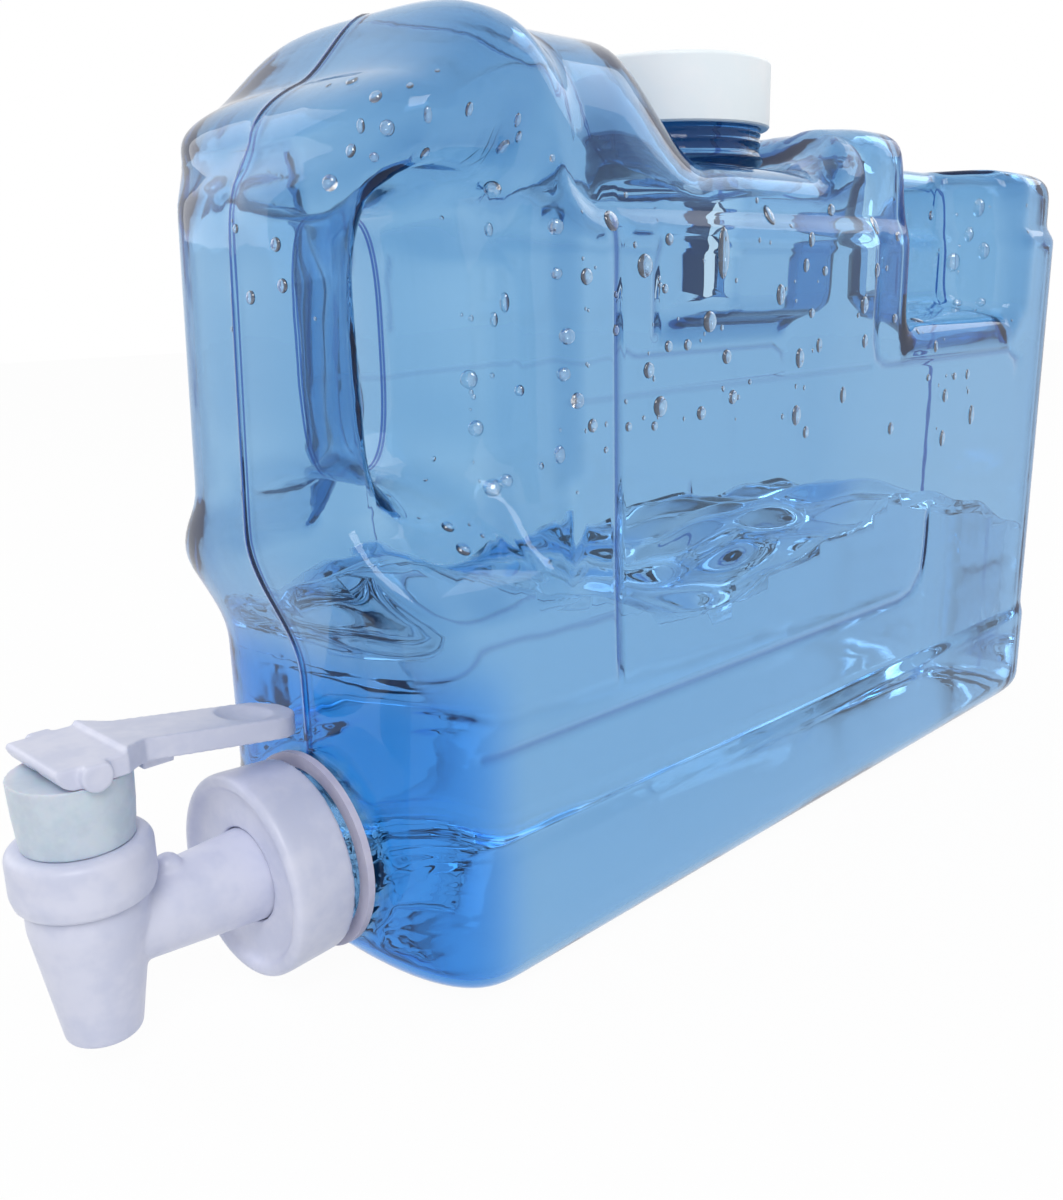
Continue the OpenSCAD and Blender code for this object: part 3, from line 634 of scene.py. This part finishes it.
def handle_hole(g, steps, name):
    """The hole through the column, flared at both mouths, with a faintly wavy edge outside."""
    reach = BOTTLE_W / 2 + 2
    side = round(COLUMN_W / 2 / reach, 4)
    xs = reach * np.unique(np.concatenate([np.linspace(-1, 1, 41), [-side, side]]).round(4))
    t = 2 * math.pi * np.arange(steps) / steps
    points = []
    for x in xs:
        flare = HOLE_FLARE * min(1, (abs(x) * 2 / COLUMN_W) ** 2.5)
        a, b = HOLE_LEN / 2 + flare + g, HOLE_H / 2 + flare * 0.8 + g
        wave = 1.0 * np.sin(t * 7 + 0.5) * min(1, abs(x) / 30) if g == 0 else 0
        s = HOLE_MID_S + (a + wave * 0.5) * np.sign(np.cos(t)) * np.abs(np.cos(t)) ** 0.6
        z = HOLE_MID_H + (b + wave * 0.5) * np.sign(np.sin(t)) * np.abs(np.sin(t)) ** 0.6
        points += [(x, p, q) for p, q in zip(s, z)]
    n = len(xs)
    faces = []
    for k in range(n - 1):
        for j in range(steps):
            a, b = k * steps + j, k * steps + (j + 1) % steps
            faces.append((a, b, b + steps, a + steps))
    faces += [tuple(range(steps - 1, -1, -1)), tuple(range((n - 1) * steps, n * steps))]
    return new_mesh(name, points, faces, MM, (0, FRONT_Y * MM, 0))


# Where the neck starts, its widest ring, and the ridges round it as radius, height and half width
NECK_FOOT_H, BEAD_R, PROFILE_STEP = 262.9, 36.6, 0.4
NECK_RIDGES = [(BEAD_R, 267.5, 1.5), (35.0, 273.4, 0.9), (34.98, 277.0, 0.8)]
NECK_RIDGES += [(34.95, h, 1.1) for h in (283.0, 287.0, 291.0, 295.0)]
# The port's foot, and its thread as where it starts, pitch, height and half width
PORT_FOOT, LAND_EDGE, PORT_THREAD = 3.3, 8.9, (13.6, 4.0, 0.35, 0.8)


def neck_profile():
    """The neck's outside with its support bead and its screw thread's turns."""
    out = [(0, NECK_FOOT_H)]
    for h in np.arange(NECK_FOOT_H, NECK_TOP_H, PROFILE_STEP):
        proud = [(top - NECK_R) * math.exp(-(((h - mid) / wide) ** 2)) for top, mid, wide in NECK_RIDGES]
        out.append((min(NECK_R + sum(proud), BEAD_R), h))
    return out + [(NECK_R - 0.3, NECK_TOP_H - 0.2), (NECK_R - 0.8, NECK_TOP_H), (0, NECK_TOP_H)]


def port_profile():
    """The port's land and its threaded neck."""
    start, pitch, high, half = PORT_THREAD
    out = [(0, PORT_FOOT), (LAND_R - 0.2, PORT_FOOT), (LAND_R, LAND_EDGE),
           (LAND_R - 0.4, LAND_OUT), (PORT_R, LAND_OUT)]
    for d in np.arange(LAND_OUT + PROFILE_STEP, PORT_END - PROFILE_STEP, PROFILE_STEP):
        out.append((PORT_R + high * math.exp(-((((d - start) % pitch - pitch / 2) / half) ** 2)), d))
    return out + [(PORT_R, PORT_END - 0.3), (PORT_R - 0.3, PORT_END), (0, PORT_END)]


def mark_plastic(mesh):
    """Marks the moulded side lines for navy painted shade, and the lower front where the blown wall is
    thickest.
    """
    p = coords(mesh) / MM
    x, s, z = p[:, 0], p[:, 1] - FRONT_Y, p[:, 2]
    outside = np.abs(x) > half_width(s, z, 0) - 2.0
    line = np.where(outside & (s > 5) & (s < BOTTLE_LEN - 12), line_depth(s, z), 0)
    thick = (1 - ramp(-2, 30, s)) * (1 - ramp(92, 122, z)) * (np.hypot(x, z - PORT_H) > LAND_R)
    for name, values in (("line", np.clip(line * LINE_SHADE_STRENGTH, 0, 1)), ("thick", thick)):
        mesh.attributes.new(name, "FLOAT", "POINT").data.foreach_set("value", values.astype(np.float32))


def eased_places(x, s, z):
    """Where a crease of the blown wall is round: at the hole, neck, port, rear grips and roof."""
    at_hole = (np.hypot((s - HOLE_MID_S) / 34, (z - HOLE_MID_H) / 60) < 1.25) & (np.abs(x) > 20)
    at_neck = (np.hypot(x, s - NECK_S) < 37) & (z < 266.5)
    at_land = (np.hypot(x, z - PORT_H) > LAND_R - 1.5) & (s < 0) & (z < 78) & (s > -9.2)
    at_grip = (s > 235) & (z > 195)
    at_top = (z > 225) & (z < 270) & ~at_neck
    return at_hole | at_neck | at_land | at_grip | at_top


def build_bottle():
    """The blown bottle, and the room inside it that the water may fill."""
    shift = (0, FRONT_Y * MM, 0)
    body = new_mesh("blown_bottle", *skin(0, 34, 22, 44, 3.6, 8, True), MM, shift)
    combine(body, lathe("neck_out", neck_profile(), 160, "Z", (0, FRONT_Y + NECK_S, 0)), "UNION")
    combine(body, lathe("port_out", port_profile(), 128, "-Y", (0, FRONT_Y, PORT_H)), "UNION")
    combine(body, handle_hole(0, 120, "hole_out"), "DIFFERENCE")
    space = new_mesh("inside", *skin(-WALL, 20, 14, 26, 6.0, 5, False), MM, shift)
    combine(space, handle_hole(WALL, 72, "hole_in"), "DIFFERENCE")
    for obj, marks, reach, rounds in ((body, 24, 5.5, 14), (space, 24, 5.0, 6)):
        mesh = obj.data
        p = coords(mesh)
        found = crease_points(mesh, marks)
        q = p[found] / MM
        keep = eased_places(q[:, 0], q[:, 1] - FRONT_Y, q[:, 2])
        weight = near(p, p[found[keep]], reach * MM)
        relax(mesh, weight, rounds)
    water_room = shrunk(space, WATER_GAP)
    combine(space, lathe("neck_bore", [(0, 250), (NECK_IN_R, 250), (NECK_IN_R, 310), (0, 310)], 128, "Z",
                         (0, FRONT_Y + NECK_S, 0)), "UNION")
    combine(space, lathe("port_bore", [(0, -6), (PORT_IN_R, -6), (PORT_IN_R, 40), (0, 40)], 96, "-Y",
                         (0, FRONT_Y, PORT_H)), "UNION")
    combine(body, space, "DIFFERENCE")
    mark_plastic(body.data)
    smooth_shade(body)
    body.data.materials.clear()
    body.data.materials.append(BOTTLE_BLUE)
    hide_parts("bottle")
    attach(body, "vessel")
    return body, water_room


# Water

# The waterline as (s, height) along the near side and the far side, and the gap between water and wall
NEAR_LINE = np.array([(-30, 146), (0, 143), (34, 132), (71, 117), (110, 109), (152, 107), (201, 120),
                      (250, 128), (281, 128), (317, 121), (365, 103), (403, 95), (420, 93)], float)
FAR_LINE = np.array([(-30, 118), (40, 112), (110, 106), (190, 109),
                     (260, 114), (330, 110), (420, 104)], float)
WATER_GAP = 0.15
# How high the water climbs at the wall, and how far in from it
CLIMB, CLIMB_REACH = 1.6, 1.5


def water_height(x, s):
    """The wavy surface between the two waterlines, with one swell near the middle."""
    side = ramp(-68, 68, x)
    near_h = np.interp(s, NEAR_LINE[:, 0], NEAR_LINE[:, 1])
    far_h = np.interp(s, FAR_LINE[:, 0], FAR_LINE[:, 1])
    h = near_h * side + far_h * (1 - side)
    h = h + 2.2 * np.sin(s / 15.0 + x / 21.0) + 1.3 * np.sin(s / 7.3 - x / 9.0)
    h = h + 0.8 * np.sin(x / 5.0 + s / 23.0)
    return h + 7 * np.exp(-(((s - 250) / 60) ** 2 + ((x - 20) / 26) ** 2))


def build_water(body):
    """Cuts the room inside the bottle down to the water, with a wavy upper face."""
    shift = (0, FRONT_Y * MM, 0)
    nx, ns = 60, 170
    xs, ss = np.linspace(-76, 76, nx), np.linspace(-40, 430, ns)
    gx, gs = np.meshgrid(xs, ss, indexing="ij")
    kernel = np.array([0.25, 0.5, 0.25])
    top = water_height(gx, gs)
    for _ in range(3):
        top = np.apply_along_axis(lambda v: np.convolve(np.pad(v, 1, "edge"), kernel, "valid"), 1, top)
    levels = (top, np.full_like(gx, -20))
    points = np.concatenate([np.stack([gx, gs, level], -1).reshape(-1, 3) for level in levels])
    n = nx * ns
    faces = []
    for i in range(nx - 1):
        for j in range(ns - 1):
            a, b, c, d = i * ns + j, (i + 1) * ns + j, (i + 1) * ns + j + 1, i * ns + j + 1
            faces += [(a, b, c, d), (n + d, n + c, n + b, n + a)]
    edge = ([i * ns for i in range(nx)] + [(nx - 1) * ns + j for j in range(1, ns)]
            + [i * ns + ns - 1 for i in range(nx - 2, -1, -1)] + [j for j in range(ns - 2, 0, -1)])
    for a, b in zip(edge, edge[1:] + edge[:1]):
        faces.append((b, a, n + a, n + b))
    combine(body, new_mesh("level", points, faces, MM, shift), "INTERSECT")
    mesh = body.data
    p = coords(mesh)
    s, x, z = p[:, 1] / MM - FRONT_Y, p[:, 0] / MM, p[:, 2] / MM
    inward = half_width(s, z, -WALL) - np.abs(x)
    climb = CLIMB * np.exp(-np.clip(inward, 0, 99) / CLIMB_REACH) * (np.abs(z - water_height(x, s)) < 1.0)
    p[:, 2] += climb * MM
    mesh.vertices.foreach_set("co", p.ravel())
    # The upper face, where the deeper blue painted reflection is laid
    top = (np.abs(z - water_height(x, s)) < 4) & (inward > 1)
    mesh.attributes.new("top", "FLOAT", "POINT").data.foreach_set("value", top.astype(np.float32))
    smooth_shade(body)
    mesh.materials.clear()
    mesh.materials.append(WATER_CLEAR)
    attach(body, "vessel")


# Drops on the bottle

def drop(bm, centre, out, radius, tall=1.0):
    """A bead flattened against the wall, its back a little inside it."""
    out = Vector(out).normalized()
    side = out.cross(Vector((0, 0, 1))).normalized()
    up = side.cross(out).normalized()
    rise = min(0.6 * radius, DROP_RISE * MM)
    rows, steps, sunk = 7, 16, 0.0001
    grid = []
    for i in range(rows + 1):
        a = math.pi / 2 * i / rows
        middle = Vector(centre) + out * (rise * math.sin(a) - sunk)
        ring = []
        for j in range(steps if i < rows else 1):
            t = 2 * math.pi * j / steps
            over = side * math.cos(t) + up * (tall * math.sin(t))
            ring.append(bm.verts.new(middle + over * (radius * math.cos(a))))
        grid.append(ring)
    for i in range(rows - 1):
        for j in range(steps):
            bm.faces.new((grid[i][j], grid[i][(j + 1) % steps], grid[i + 1][(j + 1) % steps], grid[i + 1][j]))
    for j in range(steps):
        bm.faces.new((grid[rows - 1][j], grid[rows - 1][(j + 1) % steps], grid[rows][0]))
    bm.faces.new(list(reversed(grid[0])))


# The larger drops on the near side, as s back from the front, height, radius (mm) and height over width
SIDE_DROPS = [
    (69, 240, 2.7, 1), (47, 238, 2, 1), (56, 224, 2.1, 1), (83, 227, 3.1, 1), (95, 235, 1.6, 1),
    (93, 220, 1.3, 1), (117, 209, 3, 1), (47, 225, 1.5, 1), (43, 217, 1.5, 1.7), (49, 207, 2.1, 1),
    (70, 208, 1.5, 1), (95, 202, 1.6, 1), (105, 202, 1.6, 1), (127, 197, 2.1, 1), (85, 195, 2.2, 1),
    (43, 196, 2.8, 1), (43, 191, 1.5, 1), (38, 194, 2.5, 1), (48, 196, 1.8, 1), (52, 188, 2.1, 1),
    (91, 183, 2.9, 1), (113, 179, 2, 1), (131, 183, 2.1, 1), (38, 179, 2.2, 1), (58, 180, 1.8, 1),
    (75, 178, 1.3, 1), (88, 177, 1.3, 1), (47, 172, 1.5, 1.6), (38, 161, 2.5, 1), (41, 163, 1.9, 1),
    (17, 152, 1.8, 1), (17, 146, 2.1, 1), (38, 249, 2.3, 1), (40, 238, 1.2, 1.5), (42, 212, 1.2, 1.6),
    (178, 236, 1.5, 1.5), (175, 227, 1.5, 1.4), (155, 244, 2.1, 1.6), (197, 247, 1.9, 1),
    (227, 242, 1.6, 2), (242, 238, 1.6, 1), (227, 225, 1.6, 1.5), (188, 225, 1.5, 1), (159, 217, 2.2, 1.4),
    (180, 210, 1.5, 1), (218, 212, 2.4, 1.2), (278, 204, 2.6, 1), (243, 206, 1.6, 1), (186, 198, 1.5, 1.5),
    (220, 198, 1.6, 1.4), (173, 194, 2.2, 1.4), (205, 178, 1.6, 1.7), (172, 173, 2.3, 1.4),
    (179, 166, 1.5, 1.3), (245, 161, 1.7, 1.3), (358, 229, 2.9, 1.3), (361, 234, 2.4, 1.4),
    (361, 254, 2.4, 1.5), (360, 242, 1.9, 1.6), (349, 251, 1.9, 1), (358, 210, 2, 1), (361, 210, 2, 1),
    (281, 193, 1.3, 1.6), (293, 171, 1.8, 1.4), (321, 160, 1.9, 2), (293, 152, 1.8, 1.7),
    (301, 179, 1.4, 1), (314, 179, 1.4, 1.4), (276, 180, 1.3, 1), (4, 265, 1, 1.8), (16, 267, 1.1, 1.5),
    (6, 256, 1.1, 1.6), (31, 259, 1.7, 1.3), (37, 262, 1.4, 1), (35, 266, 1.1, 1.5), (124, 231, 2.7, 2.6),
]
# The larger drops on the front, as x, height, radius (mm) and height over width
FRONT_DROPS = [
    (34, 276, 1.6, 1), (49, 270, 1.6, 1), (46, 263, 1.1, 1.5), (53, 262, 1.8, 1), (44, 257, 1.3, 1.3),
    (50, 255, 1.1, 1), (40, 249, 1.9, 1), (22, 234, 1.7, 1), (24, 223, 1.7, 1), (9, 220, 1.7, 1),
    (3, 239, 1.1, 1),
]
# How much wider than listed a drop is, how far one stands out at most, and how far small drops are strewn
DROP_SCALE, DROP_RISE, SPRAY_OVER, SPRAY_UP = 1.2, 1.35, 13.0, 11.0


def build_drops(bottle):
    """Beads of water on the near side and the front: the listed ones, and small ones strewn round them."""
    rng = random.Random(11)
    graph = bpy.context.evaluated_depsgraph_get()
    bm = bmesh.new()
    side, front = Vector((-1, 0, 0)), Vector((0, 1, 0))
    for listed, aim in ((SIDE_DROPS, side), (FRONT_DROPS, front)):
        picks = list(listed)
        for over, up, r, _ in listed:
            for _ in range(rng.randint(0, 2) + (r > 2)):
                by_over, by_up = rng.uniform(-SPRAY_OVER, SPRAY_OVER), rng.uniform(-SPRAY_UP, SPRAY_UP)
                picks.append((over + by_over, up + by_up, rng.uniform(0.4, 0.9), rng.uniform(0.9, 1.3)))
        for over, up, r, tall in picks:
            start = (BOTTLE_W, FRONT_Y + over, up) if aim is side else (over, FRONT_Y - BOTTLE_W, up)
            hit, place, normal, _ = bottle.ray_cast(Vector(start) * MM, aim, distance=0.17, depsgraph=graph)
            if hit and normal.dot(aim) < -0.15:
                drop(bm, place, normal, r * DROP_SCALE * MM, tall)
    mesh = bpy.data.meshes.new("drops")
    bmesh.ops.recalc_face_normals(bm, faces=bm.faces)
    bm.to_mesh(mesh)
    bm.free()
    obj = put("drops", mesh)
    smooth_shade(obj)
    mesh.materials.append(DROP_CLEAR)
    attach(obj, "vessel")


# Moulded small pieces

def softened(node, body, mat, voxel, rounds, name):
    """The solid with its edges eased as moulded plastic has them."""
    obj = put(name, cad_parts[node].data.copy())
    mod = obj.modifiers.new("even", "REMESH")
    mod.mode, mod.voxel_size = "VOXEL", voxel * MM
    apply_all(obj)
    mesh = obj.data
    lo, hi = [np.array(v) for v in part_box(node)]
    relax(mesh, np.full(len(mesh.vertices), 0.9), rounds)
    p = np.clip(coords(mesh), lo, hi)
    mesh.vertices.foreach_set("co", p.ravel())
    smooth_shade(obj)
    mesh.materials.clear()
    mesh.materials.append(mat)
    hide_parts(node)
    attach(obj, body)
    return obj


def dress(node, mat):
    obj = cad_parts[node]
    for i in range(max(1, len(obj.material_slots))):
        if len(obj.data.materials) <= i:
            obj.data.materials.append(mat)
        obj.material_slots[i].material = mat


# Camera and studio

# The camera's aim in degrees and place in metres; focal length and shift in pixels of the picture's width
AZIMUTH, PITCH, ROLL = 44.43, 15.58, -1.16
CAMERA_AT = (0.31094, -0.41764, 0.22125)
PICTURE_W, FOCAL, SHIFT_X, SHIFT_Y, SENSOR_W = 1063, 1168.71, -17.41, 12.9, 36.0
FLOOR_HALF, FLOOR_GAP = 4.0, 0.0004
# How much of the floor is plain white where it is looked at, and the light that the world gives the pieces
FLOOR_WHITE, WORLD_LIGHT = 0.965, 0.55
# The lamps: name, place, power, width and what they point at
LAMPS = [
    ("key", (0.9, -0.9, 1.3), 11.0, 0.7, (0, -0.05, 0.15)),
    ("fill", (-1.2, -0.7, 0.8), 4.0, 1.0, (0, -0.05, 0.15)),
    ("rim", (0.3, 1.4, 1.2), 5.0, 1.0, (0, 0, 0.15)),
]


def build_camera():
    az, pitch, roll = math.radians(AZIMUTH), math.radians(PITCH), math.radians(ROLL)
    look = Vector((-math.sin(az) * math.cos(pitch), math.cos(az) * math.cos(pitch), -math.sin(pitch)))
    right = Vector((math.cos(az), math.sin(az), 0))
    up = right.cross(look)
    right, up = math.cos(roll) * right + math.sin(roll) * up, math.cos(roll) * up - math.sin(roll) * right
    data = bpy.data.cameras.new("camera")
    data.sensor_fit, data.sensor_width = "HORIZONTAL", SENSOR_W
    data.lens = FOCAL / PICTURE_W * SENSOR_W
    data.shift_x, data.shift_y = SHIFT_X / PICTURE_W, SHIFT_Y / PICTURE_W
    data.clip_start = 0.01
    cam = put("camera", data)
    turn = Matrix((right, up, -look)).transposed().to_4x4()
    cam.matrix_world = Matrix.Translation(CAMERA_AT) @ turn
    bpy.context.scene.camera = cam


def looked_at(tree):
    """1 where a ray comes from the camera, a mirror image or through something clear, else 0."""
    path = add(tree, "ShaderNodeLightPath")
    first = add(tree, "ShaderNodeMath", operation="MAXIMUM")
    both = add(tree, "ShaderNodeMath", operation="MAXIMUM")
    tree.links.new(path.outputs["Is Camera Ray"], first.inputs[0])
    tree.links.new(path.outputs["Is Glossy Ray"], first.inputs[1])
    tree.links.new(first.outputs["Value"], both.inputs[0])
    tree.links.new(path.outputs["Is Transmission Ray"], both.inputs[1])
    return both.outputs["Value"]


def stage_material(name, share):
    """White to the camera and through clear pieces, with a share of true light and shadow kept."""
    mat, tree, bsdf = material(name)
    bsdf.inputs["Base Color"].default_value = (0.86, 0.87, 0.88, 1)
    bsdf.inputs["Roughness"].default_value = 0.9
    scale = add(tree, "ShaderNodeMath", operation="MULTIPLY")
    scale.inputs[1].default_value = share
    tree.links.new(looked_at(tree), scale.inputs[0])
    glow = add(tree, "ShaderNodeEmission")
    glow.inputs["Color"].default_value = (1, 1, 1, 1)
    glow.inputs["Strength"].default_value = 1.0
    mix = add(tree, "ShaderNodeMixShader")
    tree.links.new(scale.outputs["Value"], mix.inputs["Fac"])
    tree.links.new(bsdf.outputs["BSDF"], mix.inputs[1])
    tree.links.new(glow.outputs["Emission"], mix.inputs[2])
    tree.links.new(mix.outputs["Shader"], tree.nodes["Material Output"].inputs["Surface"])
    return mat


def build_studio():
    bm = bmesh.new()
    bmesh.ops.create_grid(bm, x_segments=8, y_segments=8, size=FLOOR_HALF)
    mesh = bpy.data.meshes.new("floor")
    bm.to_mesh(mesh)
    bm.free()
    floor = put("floor", mesh)
    floor.location = (0, 0, -FLOOR_GAP)
    mesh.materials.append(stage_material("pale_floor", FLOOR_WHITE))
    world = bpy.data.worlds.new("studio")
    bpy.context.scene.world = world
    world.use_nodes = True
    world.cycles.sampling_method = "NONE"
    tree = world.node_tree
    back = tree.nodes["Background"]
    level = add(tree, "ShaderNodeMapRange")
    level.inputs["To Min"].default_value = WORLD_LIGHT
    level.inputs["To Max"].default_value = 1.0
    tree.links.new(looked_at(tree), level.inputs["Value"])
    tree.links.new(level.outputs["Result"], back.inputs["Strength"])
    back.inputs["Color"].default_value = (1, 1, 1, 1)
    for name, place, power, width, aim in LAMPS:
        data = bpy.data.lights.new(name, "AREA")
        data.energy, data.size = power, width
        lamp = put(name, data)
        lamp.location = place
        lamp.rotation_euler = (Vector(aim) - Vector(place)).to_track_quat("-Z", "Y").to_euler()
    bpy.context.scene.view_settings.view_transform = "Standard"


build_camera()
build_studio()
bottle, water_room = build_bottle()
build_water(water_room)
build_drops(bottle)
dress("screw_cap", CAP_WHITE)
dress("cap_liner", LINER_FOAM)
dress("port_washer", WASHER_PINK)
dress("flange_gasket", SILICONE)
seat_cup = softened("seat_cup", "vessel", SILICONE, 0.5, 2, "valve_cup")
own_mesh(seat_cup)
dress("stem", TAP_WHITE)
dress("lever_pin", TAP_WHITE)
softened("tap_body", "vessel", TAP_WHITE, 0.65, 5, "tap_moulding")
softened("collar", "vessel", TAP_WHITE, 0.7, 3, "collar_moulding")
softened("bonnet_ring", "vessel", TAP_WHITE, 0.5, 3, "bonnet_moulding")
softened("sleeve", "head", SLEEVE_WHITE, 0.5, 2, "sleeve_moulding")
softened("lever", "handle", TAP_WHITE, 0.5, 4, "lever_moulding")
